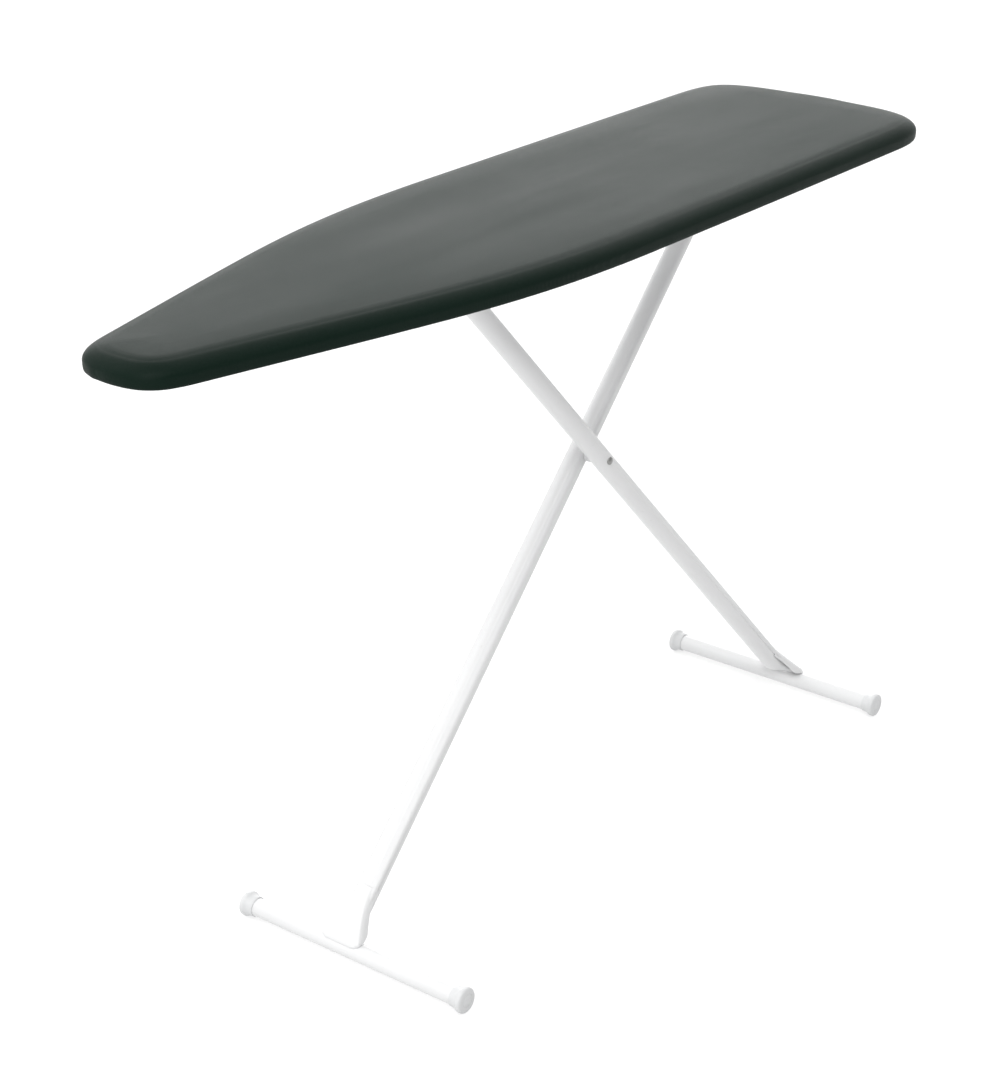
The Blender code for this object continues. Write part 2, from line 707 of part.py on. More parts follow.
def make_leg(name, foot_x, y, lean, pin_x, paint, plastic, pivot):
    frame = leg_frame(foot_x, y, lean)
    make_leg_tube(f"{name}_leg_tube", frame, pin_x, y, paint, pivot)
    make_foot_tube(f"{name}_foot_tube", foot_x, paint, pivot)
    make_gusset(f"{name}_gusset", frame, paint, pivot)
    make_cap(f"{name}_cap_left", foot_x, -1, plastic, pivot)
    make_cap(f"{name}_cap_right", foot_x, 1, plastic, pivot)


def make_centre_pivot(steel, plastic, pivot):
    """A rivet-headed bolt through both tubes, a spacer between them and a nut on the far side."""
    near = REAR_LEG_Y - LEG_RADIUS - GAP
    far = FRONT_LEG_Y + LEG_RADIUS + GAP
    nut = 0.0022
    length = far + nut + 0.0003 - near
    profile = [
        (0, -0.0026),
        (0.0030, -0.0022),
        (0.0048, -0.0010),
        (0.0053, 0.0),
        (PIN_RADIUS, 0.0),
        (PIN_RADIUS, length - 0.0006),
        (PIN_RADIUS - 0.0006, length),
        (0, length),
    ]
    place = (PIVOT_X, near, PIVOT_Z)
    add_object("pivot_bolt", turned(profile, 16, place, (0, 1, 0)), steel, pivot)
    spacer_span = (REAR_LEG_Y + LEG_RADIUS + GAP, FRONT_LEG_Y - LEG_RADIUS - GAP)
    spacer = ring_on_y(0.0085, PIN_HOLE, PIVOT_X, PIVOT_Z, *spacer_span, 20)
    add_object("pivot_spacer", spacer, plastic, pivot)
    add_object("pivot_nut", hex_nut(far, nut), steel, pivot)


def hex_nut(start, height):
    """A hexagon pushed along Y with a round bore, bridged corner to arc."""
    sides = 6
    bore = 24
    bm = bmesh.new()
    rows = []
    for radius, count, y in (
        (0.0070, sides, start),
        (0.0070, sides, start + height),
        (PIN_HOLE, bore, start + height),
        (PIN_HOLE, bore, start),
    ):
        row = []
        for i in range(count):
            angle = 2 * math.pi * i / count
            spot = (PIVOT_X + radius * math.cos(angle), y, PIVOT_Z + radius * math.sin(angle))
            row.append(bm.verts.new(spot))
        rows.append(row)
    each = bore // sides
    for low, high in ((0, 1), (2, 3)):
        count = len(rows[low])
        for i in range(count):
            j = (i + 1) % count
            bm.faces.new((rows[low][i], rows[low][j], rows[high][j], rows[high][i]))
    for outside, inside in ((1, 2), (0, 3)):
        for i in range(sides):
            arc = [rows[inside][(i * each + k) % bore] for k in range(each + 1)]
            bm.faces.new([rows[outside][i], rows[outside][(i + 1) % sides], *reversed(arc)])
    return bm


# Assembly ---------------------------------------------------------------------------------------------
def build():
    clear_scene()
    fabric = material("cover_fabric", (0.040, 0.062, 0.053), 0.75)
    felt = material("pad_felt", (0.62, 0.60, 0.56), 0.95)
    paint = material("white_paint", (0.82, 0.83, 0.84), 0.35)
    zinc = material("zinc_steel", (0.58, 0.58, 0.57), 0.35, 1.0)
    plastic = material("white_plastic", (0.74, 0.75, 0.76), 0.45)
    grip = material("grip_plastic", (0.10, 0.10, 0.11), 0.55)

    fold_pivot = add_pivot("front_leg_hinge", HINGE_X, FRONT_LEG_Y, PIN_Z)
    centre_pivot = add_pivot("centre_pivot", PIVOT_X, 0.0, PIVOT_Z)
    lever_pivot = add_pivot("lever_hinge", LEVER_X, LEVER_Y, LEVER_Z)

    track_rivets = [(TRACK_START_X + 0.007, REAR_LEG_Y + dy) for dy in (-0.008, 0.008)]
    track_rivets += [(TRACK_STOP_X - 0.007, REAR_LEG_Y + dy) for dy in (-0.008, 0.008)]
    hinge_rivets = [(HINGE_X + side * 0.017, FRONT_LEG_Y + dy) for side in (-1, 1) for dy in (-0.008, 0.008)]

    make_cover(fabric)
    make_pad(felt)
    make_top_panel(paint)
    make_edge_rim(paint)
    make_brace("brace_front", FRONT_BRACE_X, track_rivets[:2], paint)
    make_brace("brace_middle", MIDDLE_BRACE_X, track_rivets[2:], paint)
    make_brace("brace_rear", HINGE_X, hinge_rivets, paint)
    make_slide_track(track_rivets, paint)
    make_hinge_bracket(hinge_rivets, paint)
    for i, spot in enumerate(track_rivets):
        make_rivet(f"track_rivet_{i + 1}", spot, zinc)
    for i, spot in enumerate(hinge_rivets):
        make_rivet(f"hinge_rivet_{i + 1}", spot, zinc)

    ear = HINGE_HALF + HINGE_THICK + GAP
    head = 0.0016
    pin_span = (FRONT_LEG_Y - ear - head, FRONT_LEG_Y + ear + 0.0025)
    make_pin("hinge_pin", HINGE_X, PIN_Z, *pin_span, head, zinc)
    make_clip("hinge_pin_clip", HINGE_X, PIN_Z, FRONT_LEG_Y + ear, zinc)

    make_lever_bracket(paint)
    make_lever_pin(zinc)
    make_lever_spring(zinc)
    make_lever(paint, grip, lever_pivot)

    make_leg("front", FRONT_FOOT_X, FRONT_LEG_Y, 1, HINGE_X, paint, plastic, fold_pivot)
    make_leg("rear", REAR_FOOT_X, REAR_LEG_Y, -1, SLIDE_X, paint, plastic, centre_pivot)
    make_centre_pivot(zinc, plastic, fold_pivot)

    rail = TRACK_HALF + BRACKET_THICK / 2
    roller = 0.0013
    outside = rail + roller + GAP
    pin_reach = outside + 0.0026
    pin_span = (REAR_LEG_Y - pin_reach, REAR_LEG_Y + pin_reach)
    make_pin("slide_pin", SLIDE_X, PIN_Z, *pin_span, 0, zinc, centre_pivot)
    for side, label in ((-1, "near"), (1, "far")):
        middle = REAR_LEG_Y + side * rail
        ring = ring_on_y(ROLLER_RADIUS, PIN_HOLE, SLIDE_X, PIN_Z, middle - roller, middle + roller, 20)
        add_object(f"slide_roller_{label}", ring, plastic, centre_pivot)
        start = REAR_LEG_Y + outside if side > 0 else REAR_LEG_Y - outside - CLIP_THICK
        make_clip(f"slide_clip_{label}", SLIDE_X, PIN_Z, start, zinc, centre_pivot)


build()
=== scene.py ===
"""The ironing board's looks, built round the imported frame.

Metres, +Z up, in the frame of the CAD part: nose at -X, tail at +X, floor at z = 0. Every piece rides on a
CAD body: board, lever, front_leg or rear_leg.
"""

import json
import math

import bmesh
import bpy
from mathutils import Matrix, Vector, noise


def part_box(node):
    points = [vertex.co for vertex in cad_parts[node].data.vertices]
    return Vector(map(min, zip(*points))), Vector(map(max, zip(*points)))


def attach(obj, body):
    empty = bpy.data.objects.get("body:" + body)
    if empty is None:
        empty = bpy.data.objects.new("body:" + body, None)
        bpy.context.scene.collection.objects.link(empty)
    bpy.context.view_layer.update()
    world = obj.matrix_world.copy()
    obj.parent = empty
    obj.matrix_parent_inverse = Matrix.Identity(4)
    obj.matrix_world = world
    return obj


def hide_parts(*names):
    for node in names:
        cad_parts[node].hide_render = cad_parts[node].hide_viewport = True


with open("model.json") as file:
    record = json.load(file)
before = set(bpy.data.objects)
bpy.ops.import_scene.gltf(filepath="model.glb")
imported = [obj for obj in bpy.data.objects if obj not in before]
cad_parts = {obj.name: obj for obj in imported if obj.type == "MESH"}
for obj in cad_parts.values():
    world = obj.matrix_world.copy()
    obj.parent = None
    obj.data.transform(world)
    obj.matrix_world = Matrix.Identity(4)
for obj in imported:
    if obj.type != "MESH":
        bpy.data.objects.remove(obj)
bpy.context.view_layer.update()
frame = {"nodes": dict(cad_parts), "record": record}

# Places and sizes read from the frame -------------------------------------------------------------
COVER_LOW, COVER_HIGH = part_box("cover")
BOARD_LENGTH = COVER_HIGH.x - COVER_LOW.x
TOP_Z = COVER_HIGH.z
HEM_Z = COVER_LOW.z


def centre_of(node):
    low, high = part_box(node)
    return (low + high) / 2


def size_of(node):
    low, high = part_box(node)
    return high - low


HINGE = centre_of("hinge_pin")
SLIDE = centre_of("slide_pin")
PIVOT = centre_of("pivot_spacer")
FOOT_RADIUS = size_of("front_foot_tube").z / 2
LEG_RADIUS = size_of("front_leg_tube").y / 2
CAP_RADIUS = size_of("front_cap_left").z / 2

# The cover's own shape: how far its edge rounds over, across and down, then the crown of its top, the
# cloth, the hem's place, and what keeps the pad clear of the cloth. The wall is the leg and foot tubes'
EDGE_ROUND_X = 0.030
EDGE_ROUND_Z = 0.019
CROWN = 0.0016
CROWN_WIDTH = 0.050
COVER_THICK = 0.0009
HEM_INSET = 0.020
PAD_GAP = 0.0005
PAD_SINK = 0.0008
TUBE_WALL = 0.0012


# Node helpers -------------------------------------------------------------------------------------
class Nodes:
    """A material's node tree, with a short way to add a node and join it up."""

    def __init__(self, name):
        self.material = bpy.data.materials.new(name)
        self.material.use_nodes = True
        self.tree = self.material.node_tree
        self.shader = self.tree.nodes["Principled BSDF"]

    def add(self, kind, settings=None, **inputs):
        node = self.tree.nodes.new(kind)
        for key, value in (settings or {}).items():
            setattr(node, key, value)
        for key, value in inputs.items():
            self.put(node, key.replace("_", " "), value)
        return node

    def put(self, node, key, value):
        socket = node.inputs[int(key)] if key.isdigit() else node.inputs[key]
        if isinstance(value, bpy.types.NodeSocket):
            self.tree.links.new(value, socket)
        else:
            socket.default_value = value

    def coordinates(self, scale=(1, 1, 1), turn=(0, 0, 0)):
        source = self.add("ShaderNodeTexCoord").outputs["Object"]
        mapping = self.add("ShaderNodeMapping")
        self.put(mapping, "Vector", source)
        self.put(mapping, "Scale", scale)
        self.put(mapping, "Rotation", turn)
        return mapping.outputs["Vector"]

    def noise(self, vector, scale, detail=3.0, roughness=0.5):
        node = self.add("ShaderNodeTexNoise")
        pairs = (("Vector", vector), ("Scale", scale), ("Detail", detail), ("Roughness", roughness))
        for key, value in pairs:
            self.put(node, key, value)
        return node.outputs["Fac"]

    def wave(self, vector, scale, direction, distortion=0.0):
        node = self.add("ShaderNodeTexWave", {"wave_type": "BANDS", "bands_direction": direction})
        for key, value in (("Vector", vector), ("Scale", scale), ("Distortion", distortion)):
            self.put(node, key, value)
        return node.outputs["Fac"]

    def math(self, operation, a, b=0.0):
        node = self.add("ShaderNodeMath", {"operation": operation})
        self.put(node, "0", a)
        self.put(node, "1", b)
        return node.outputs["Value"]

    def span(self, value, low, high, to_low=0.0, to_high=1.0):
        node = self.add("ShaderNodeMapRange")
        pairs = (("Value", value), ("From Min", low), ("From Max", high))
        pairs += (("To Min", to_low), ("To Max", to_high))
        for key, number in pairs:
            self.put(node, key, number)
        return node.outputs["Result"]

    def mix(self, factor, a, b):
        node = self.add("ShaderNodeMix", {"data_type": "RGBA"})
        self.put(node, "0", factor)
        self.put(node, "6", a)
        self.put(node, "7", b)
        return node.outputs[2]

    def bump(self, height, distance, strength=1.0, normal=None):
        node = self.add("ShaderNodeBump")
        self.put(node, "Height", height)
        self.put(node, "Distance", distance)
        self.put(node, "Strength", strength)
        if normal is not None:
            self.put(node, "Normal", normal)
        return node.outputs["Normal"]

    def set(self, **values):
        for key, value in values.items():
            self.put(self.shader, key.replace("_", " "), value)


def rgba(red, green, blue):
    return (red, green, blue, 1.0)


def cover_material():
    """Very dark green cotton with a smooth finish: a plain weave, faint lengthwise streaks, and a pale veil
    that grows as the eye gets nearer the plane of the cloth."""
    n = Nodes("green_weave")
    threads = 420.0
    streak = n.noise(n.coordinates((1.8, 15.0, 6.0)), 1.0, 4.0, 0.55)
    cloud = n.noise(n.coordinates((4.5, 4.5, 4.5)), 1.0, 2.0)
    blend = n.math("ADD", n.math("MULTIPLY", streak, 0.65), n.math("MULTIPLY", cloud, 0.35))
    thread = n.noise(n.coordinates((300.0, 1500.0, 1500.0)), 1.0, 2.0)
    tone = n.mix(n.span(blend, 0.35, 0.65), rgba(0.0026, 0.0088, 0.0058), rgba(0.0044, 0.0114, 0.0080))
    tone = n.mix(n.span(thread, 0.5, 0.8, 0.0, 0.3), tone, rgba(0.014, 0.024, 0.019))
    warp = n.wave(n.coordinates(), threads, "X", 0.5)
    weft = n.wave(n.coordinates(), threads, "Y", 0.5)
    rise = n.wave(n.coordinates(), threads, "Z", 0.5)
    weave = n.math("ADD", n.math("MULTIPLY", warp, weft), n.math("MULTIPLY", rise, 0.35))
    n.set(Base_Color=tone, Normal=n.bump(weave, 0.00012, 0.5))
    n.set(Roughness=n.span(blend, 0.3, 0.7, 0.40, 0.50), Specular_IOR_Level=0.053)
    n.set(Sheen_Weight=0.02, Sheen_Roughness=0.30, Sheen_Tint=rgba(0.88, 0.92, 0.90))
    return n.material


def felt_material():
    n = Nodes("grey_felt")
    fibre = n.noise(n.coordinates((260.0, 260.0, 260.0)), 1.0, 5.0, 0.7)
    patch = n.noise(n.coordinates((14.0, 14.0, 14.0)), 1.0, 2.0)
    tone = n.mix(patch, rgba(0.54, 0.52, 0.48), rgba(0.68, 0.66, 0.61))
    n.set(Base_Color=n.mix(n.span(fibre, 0.55, 0.75), tone, rgba(0.40, 0.39, 0.37)), Roughness=0.95)
    n.set(Normal=n.bump(fibre, 0.0008, 0.8), Sheen_Weight=0.3, Specular_IOR_Level=0.2)
    return n.material


def paint_material():
    """White powder coat: fine orange peel, a slightly uneven gloss, and a little dust grey in specks."""
    n = Nodes("powder_coat")
    peel = n.noise(n.coordinates((900.0, 900.0, 900.0)), 1.0, 2.0)
    wide = n.noise(n.coordinates((7.0, 7.0, 7.0)), 1.0, 3.0)
    speck = n.noise(n.coordinates((160.0, 160.0, 160.0)), 1.0, 3.0)
    tone = n.mix(wide, rgba(0.57, 0.572, 0.575), rgba(0.63, 0.632, 0.635))
    tone = n.mix(n.span(speck, 0.68, 0.78, 0.0, 0.30), tone, rgba(0.44, 0.44, 0.43))
    n.set(Base_Color=tone, Roughness=n.span(wide, 0.3, 0.7, 0.30, 0.42))
    n.set(Normal=n.bump(peel, 0.00012, 0.12), Coat_Weight=0.15, Coat_Roughness=0.25)
    return n.material


def panel_material():
    """The underside's thinner grey-white coat, with rolling marks along the sheet."""
    n = Nodes("panel_paint")
    roll = n.noise(n.coordinates((6.0, 240.0, 240.0)), 1.0, 3.0)
    wide = n.noise(n.coordinates((9.0, 9.0, 9.0)), 1.0, 3.0)
    tone = n.mix(wide, rgba(0.66, 0.67, 0.68), rgba(0.76, 0.77, 0.78))
    n.set(Base_Color=tone, Roughness=n.span(roll, 0.3, 0.7, 0.34, 0.52), Normal=n.bump(roll, 0.0002, 0.3))
    return n.material


def zinc_material():
    n = Nodes("bright_zinc")
    brushed = n.noise(n.coordinates((700.0, 90.0, 700.0)), 1.0, 3.0)
    cloud = n.noise(n.coordinates((60.0, 60.0, 60.0)), 1.0, 3.0)
    tone = n.mix(cloud, rgba(0.24, 0.24, 0.235), rgba(0.34, 0.34, 0.33))
    n.set(Base_Color=tone, Metallic=1.0, Roughness=n.span(brushed, 0.3, 0.7, 0.26, 0.46))
    n.set(Normal=n.bump(brushed, 0.0001, 0.3))
    return n.material


def plastic_material(name, low, high, roughness):
    """Moulded plastic: spark-eroded grain, faint flow marks."""
    n = Nodes(name)
    grain = n.noise(n.coordinates((1400.0, 1400.0, 1400.0)), 1.0, 2.0)
    flow = n.noise(n.coordinates((40.0, 22.0, 40.0)), 1.0, 3.0)
    gloss = n.span(flow, 0.3, 0.7, roughness - 0.05, roughness + 0.05)
    n.set(Base_Color=n.mix(flow, low, high), Roughness=gloss)
    n.set(Normal=n.bump(grain, 0.0001, 0.3), Specular_IOR_Level=0.45)
    return n.material


def floor_material():
    """Matt grey that glows a little, so that the floor reads as plain white."""
    n = Nodes("studio_floor")
    n.set(Base_Color=rgba(0.36, 0.36, 0.36), Roughness=0.9, Specular_IOR_Level=0.1)
    n.set(Emission_Color=rgba(1, 1, 1), Emission_Strength=0.62)
    return n.material


COVER = cover_material()
FELT = felt_material()
PAINT = paint_material()
PANEL = panel_material()
ZINC = zinc_material()
CAP = plastic_material("moulded_white", rgba(0.50, 0.505, 0.51), rgba(0.56, 0.565, 0.57), 0.42)
GRIP = plastic_material("moulded_black", rgba(0.035, 0.036, 0.038), rgba(0.055, 0.056, 0.058), 0.5)


# Mesh helpers -------------------------------------------------------------------------------------
def add_piece(name, bm, finish, body, nodes=(), crease=40.0):
    """An object from a bmesh in the frame's coordinates, which rides on a body and stands for CAD nodes."""
    bmesh.ops.remove_doubles(bm, verts=bm.verts, dist=1e-7)
    bmesh.ops.recalc_face_normals(bm, faces=bm.faces)
    mesh = bpy.data.meshes.new(name)
    bm.to_mesh(mesh)
    bm.free()
    mesh.shade_smooth()
    mesh.set_sharp_from_angle(angle=math.radians(crease))
    mesh.materials.append(finish)
    made = bpy.data.objects.new(name, mesh)
    bpy.context.scene.collection.objects.link(made)
    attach(made, body)
    if nodes:
        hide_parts(*nodes)
    return made


def add_rings(bm, rings, ends="cap"):
    """Joins rings of equal point counts; ends are capped, left open, or joined to each other."""
    rows = [[bm.verts.new(point) for point in ring] for ring in rings]
    pairs = list(zip(rows, rows[1:]))
    if ends == "loop":
        pairs.append((rows[-1], rows[0]))
    count = len(rows[0])
    for low, high in pairs:
        for i in range(count):
            j = (i + 1) % count
            bm.faces.new((low[i], low[j], high[j], high[i]))
    if ends == "cap":
        bm.faces.new(list(reversed(rows[0])))
        bm.faces.new(rows[-1])
    return rows


def axes_for(direction):
    """Two unit vectors square to a direction; the first is world Y where that is square to it."""
    direction = direction.normalized()
    across = Vector((0, 1, 0))
    if abs(direction.dot(across)) > 0.9:
        across = Vector((1, 0, 0))
    across = (across - direction * direction.dot(across)).normalized()
    return across, direction.cross(across)


def circle(centre, direction, radius, sides):
    across, up = axes_for(direction)
    angles = [2 * math.pi * i / sides for i in range(sides)]
    return [centre + across * radius * math.cos(a) + up * radius * math.sin(a) for a in angles]


def turned_rings(profile, centre, direction, sides):
    """Rings of a turned body from (radius, distance) pairs along a direction."""
    direction = direction.normalized()
    return [circle(centre + direction * d, direction, max(r, 1e-5), sides) for r, d in profile]


def rounded(points, radius, steps=4):
    """A path of (a, b) pairs with its inner corners rounded."""
    points = [Vector(point) for point in points]
    path = [points[0]]
    for before, corner, after in zip(points, points[1:], points[2:]):
        reach = min(radius, (before - corner).length * 0.45, (after - corner).length * 0.45)
        start = corner + (before - corner).normalized() * reach
        stop = corner + (after - corner).normalized() * reach
        for i in range(steps + 1):
            t = i / steps
            path.append((1 - t) ** 2 * start + 2 * t * (1 - t) * corner + t * t * stop)
    path.append(points[-1])
    return path


def smooth_step(low, high, value):
    t = min(max((value - low) / (high - low), 0.0), 1.0)
    return t * t * (3 - 2 * t)


# The board's outline ------------------------------------------------------------------------------
# The same anchors as the CAD part: distance from the nose, half width, direction, and the handle lengths
# before and after, in metres.
EDGE_ANCHORS = (
    (0.000, 0.0000, (0.0, 1.0), 0.000, 0.060),
    (0.075, 0.0755, (1.0, 0.25), 0.045, 0.080),
    (0.330, 0.1385, (1.0, 0.235), 0.080, 0.123),
    (0.700, 0.1810, (1.0, 0.0), 0.150, 0.180),
    (1.255, 0.1800, (1.0, -0.006), 0.220, 0.080),
    (1.368, 0.0620, (0.05, -1.0), 0.100, 0.032),
    (1.372, 0.0000, (0.0, -1.0), 0.030, 0.000),
)
EDGE_STEPS = (26, 30, 40, 56, 28, 10)


def edge_samples():
    """(point, outward normal) down the +Y side, from the nose to the middle of the tail."""
    samples = []
    spans = zip(EDGE_ANCHORS, EDGE_ANCHORS[1:], EDGE_STEPS)
    for (x0, y0, d0, _, reach0), (x1, y1, d1, reach1, _), steps in spans:
        start, stop = Vector((x0, y0)), Vector((x1, y1))
        pull = start + Vector(d0).normalized() * reach0
        push = stop - Vector(d1).normalized() * reach1
        last = x1 == EDGE_ANCHORS[-1][0]
        for i in range(steps + last):
            t = i / steps
            s = 1 - t
            point = s**3 * start + 3 * s * s * t * pull + 3 * s * t * t * push + t**3 * stop
            slope = s * s * (pull - start) + 2 * s * t * (push - pull) + t * t * (stop - push)
            slope.normalize()
            samples.append((point, Vector((-slope.y, slope.x))))
    middle = BOARD_LENGTH / 2
    return [(Vector((point.x - middle, point.y)), normal) for point, normal in samples]


SIDE = edge_samples()
OUTLINE = SIDE + [(Vector((p.x, -p.y)), Vector((n.x, -n.y))) for p, n in reversed(SIDE[1:-1])]


def board_ring(inset, z):
    """The outline moved inwards, at one height."""
    return [Vector((*(point - normal * inset), z)) for point, normal in OUTLINE]


def edge_turn():
    """How fast the outline turns at each of its points, in radians per metre."""
    count = len(OUTLINE)
    turns = []
    for i in range(count):
        (a, na), (b, nb) = OUTLINE[i - 1], OUTLINE[(i + 1) % count]
        turns.append(na.angle(nb) / max((b - a).length, 1e-6))
    return turns


# Cover and pad ------------------------------------------------------------------------------------
MIDDLE_START = -BOARD_LENGTH / 2 + 0.085
MIDDLE_STOP = BOARD_LENGTH / 2 - 0.110


def top_rings(inset, z, steps):
    """Rings over the slightly crowned top, from an inset to the middle line."""
    rings = []
    edge = board_ring(inset, z)
    for k in range(1, steps + 1):
        share = k / steps
        ring = []
        for point in edge:
            middle = Vector((min(max(point.x, MIDDLE_START), MIDDLE_STOP), 0, z))
            run = (middle - point).length * share
            sink = CROWN * (1 - min(run / CROWN_WIDTH, 1.0)) ** 2
            ring.append(point.lerp(middle, share) - Vector((0, 0, sink)))
        rings.append(ring)
    return rings


def edge_drop(angle):
    """(inset, drop below the top) round the cover's upper edge, which runs on into the crown."""
    slope = 2 * CROWN / CROWN_WIDTH
    inset = EDGE_ROUND_X * (1 - math.cos(angle))
    depth = EDGE_ROUND_Z - CROWN - slope * EDGE_ROUND_X
    return inset, CROWN + slope * (EDGE_ROUND_X - inset) + depth * (1 - math.sin(angle))


def edge_profile(thick):
    """(inset, height) from the hem, round the side and over the edge, moved in by a thickness."""
    path = [(HEM_INSET, HEM_Z + 0.0003), (0.010, HEM_Z), (0.0034, HEM_Z + 0.0002), (0.0012, HEM_Z + 0.0013)]
    path += [(0.0003, HEM_Z + 0.0034), (0.0, HEM_Z + 0.0065)]
    points = [Vector(p) for p in path]
    for i in range(19):
        inset, drop = edge_drop(math.pi / 2 * i / 18)
        points.append(Vector((inset, TOP_Z - drop)))
    moved = []
    for i, point in enumerate(points):
        along = (points[min(i + 1, len(points) - 1)] - points[max(i - 1, 0)]).normalized()
        moved.append(point + Vector((along.y, -along.x)) * thick)
    return moved


def fabric_wave(x, y):
    """The slight lengthwise unevenness of cloth pulled over a soft pad, from -1 to 1."""
    broad = noise.noise(Vector((x * 2.3, y * 9.0, 0.3)))
    fine = noise.noise(Vector((x * 6.0, y * 30.0, 4.7)))
    return broad * 0.7 + fine * 0.3


# How far the cloth puckers along its side and at its corners, and the waves of its top, which reach down to
# a depth under the highest point
SIDE_PUCKER = 0.00045
CORNER_PUCKER = 0.0011
TOP_WAVE = 0.00035
TOP_WAVE_DEPTH = 0.004


def cover_rings(thick):
    profile = edge_profile(thick)
    turn = edge_turn()
    rings = []
    for inset, z in profile:
        ring = board_ring(inset, z)
        low = smooth_step(TOP_Z - 0.010, HEM_Z + 0.002, z)
        for i, point in enumerate(ring):
            normal = Vector((*OUTLINE[i][1], 0))
            gather = smooth_step(3.0, 10.0, turn[i]) * low
            pucker = noise.noise(Vector((point.x * 55, point.y * 55, z * 12)))
            point -= normal * (SIDE_PUCKER * abs(pucker) * low + CORNER_PUCKER * abs(pucker) * gather)
        rings.append(ring)
    rings += top_rings(EDGE_ROUND_X, TOP_Z - thick, 22)
    for ring in rings:
        for point in ring:
            if point.z > TOP_Z - thick - TOP_WAVE_DEPTH:
                point.z -= TOP_WAVE * (1 + fabric_wave(point.x, point.y))
    return rings


def make_cover():
    bm = bmesh.new()
    outside = add_rings(bm, cover_rings(0.0), "open")
    inside = add_rings(bm, cover_rings(COVER_THICK), "open")
    count = len(outside[0])
    for i in range(count):
        j = (i + 1) % count
        bm.faces.new((outside[0][j], outside[0][i], inside[0][i], inside[0][j]))
    for rows in (outside, inside):
        close_middle(bm, rows[-1])
    return add_piece("ironing_cover", bm, COVER, "board", ["cover"], crease=75.0)


def close_middle(bm, row):
    """Sews the two halves of a ring that has shrunk on to the middle line."""
    half = len(row) // 2
    targets = {row[i]: row[len(row) - i] for i in range(1, half)}
    bmesh.ops.weld_verts(bm, targetmap=targets)


def make_hem():
    """The folded casing round the opening underneath, a little puckered."""
    bm = bmesh.new()
    rings = []
    steps = 10
    half_wide, half_deep, rise = 0.0026, 0.0017, 0.0022
    for k in range(steps):
        angle = 2 * math.pi * k / steps
        inset = HEM_INSET + half_wide * math.cos(angle)
        ring = board_ring(inset, HEM_Z + rise + half_deep * math.sin(angle))
        for i, point in enumerate(ring):
            point.z += 0.0003 * noise.noise(Vector((point.x * 90, point.y * 90, 3.0)))
        rings.append(ring)
    add_rings(bm, rings, "loop")
    return add_piece("cover_hem", bm, COVER, "board", crease=75.0)


# The pad's lower edge as (inset, rise) pairs, and the angle where its upper edge takes up the cover's curve
PAD_LOWER_EDGE = ((0.0160, 0.0), (0.0150, 0.0013), (0.0141, 0.0014))
PAD_EDGE_START = 58.5
PAD_EDGE_STEPS = 8


def make_pad():
    """The felt pad: its upper edge follows the cover's curve, and it sits on the panel and the rim."""
    shrink = COVER_THICK + PAD_GAP
    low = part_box("pad")[0].z
    rings = [board_ring(inset, low + rise) for inset, rise in PAD_LOWER_EDGE]
    for i in range(PAD_EDGE_STEPS + 1):
        inset, drop = edge_drop(math.radians(PAD_EDGE_START + (90 - PAD_EDGE_START) * i / PAD_EDGE_STEPS))
        rings.append(board_ring(inset, TOP_Z - drop - shrink - PAD_SINK))
    top = top_rings(EDGE_ROUND_X, TOP_Z - shrink - PAD_SINK, 14)
    for ring in top:
        for point in ring:
            point.z -= 0.0003 * (1 + fabric_wave(point.x, point.y))
    bm = bmesh.new()
    rows = add_rings(bm, rings + top, "open")
    bm.faces.new(list(reversed(rows[0])))
    close_middle(bm, rows[-1])
    return add_piece("ironing_pad", bm, FELT, "board", ["pad"], crease=75.0)


# Top panel and rim --------------------------------------------------------------------------------
VENT_PITCH = 0.036
VENT_RADIUS = 0.0085
VENT_MARGIN = 0.022
VENT_NOSE_ROOM = 0.02
VENT_BRACE_ROOM = 0.011
PANEL_INSET = 0.0062


def half_width(x, inset=0.0):
    for (a, na), (b, nb) in zip(SIDE, SIDE[1:]):
        pa, pb = a - na * inset, b - nb * inset
        if pa.x <= x <= pb.x:
            return pa.y + (pb.y - pa.y) * (x - pa.x) / max(pb.x - pa.x, 1e-9)
    return -1.0


def vent_places():
    """A staggered honeycomb of vent centres that keeps clear of the rim and the braces."""
    row_step = VENT_PITCH * math.sqrt(3) / 2
    names = ("brace_front", "brace_middle", "brace_rear")
    braces = [(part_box(name)[0].x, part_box(name)[1].x) for name in names]
    places = []
    rows = int(COVER_HIGH.y / row_step)
    for row in range(-rows, rows + 1):
        y = row * row_step
        for column in range(-20, 21):
            x = (column + (row % 2) / 2) * VENT_PITCH
            if abs(y) > min(half_width(x, VENT_MARGIN), half_width(x - VENT_NOSE_ROOM, VENT_MARGIN)):
                continue
            if any(low - VENT_BRACE_ROOM < x < high + VENT_BRACE_ROOM for low, high in braces):
                continue
            places.append((x, y))
    return places


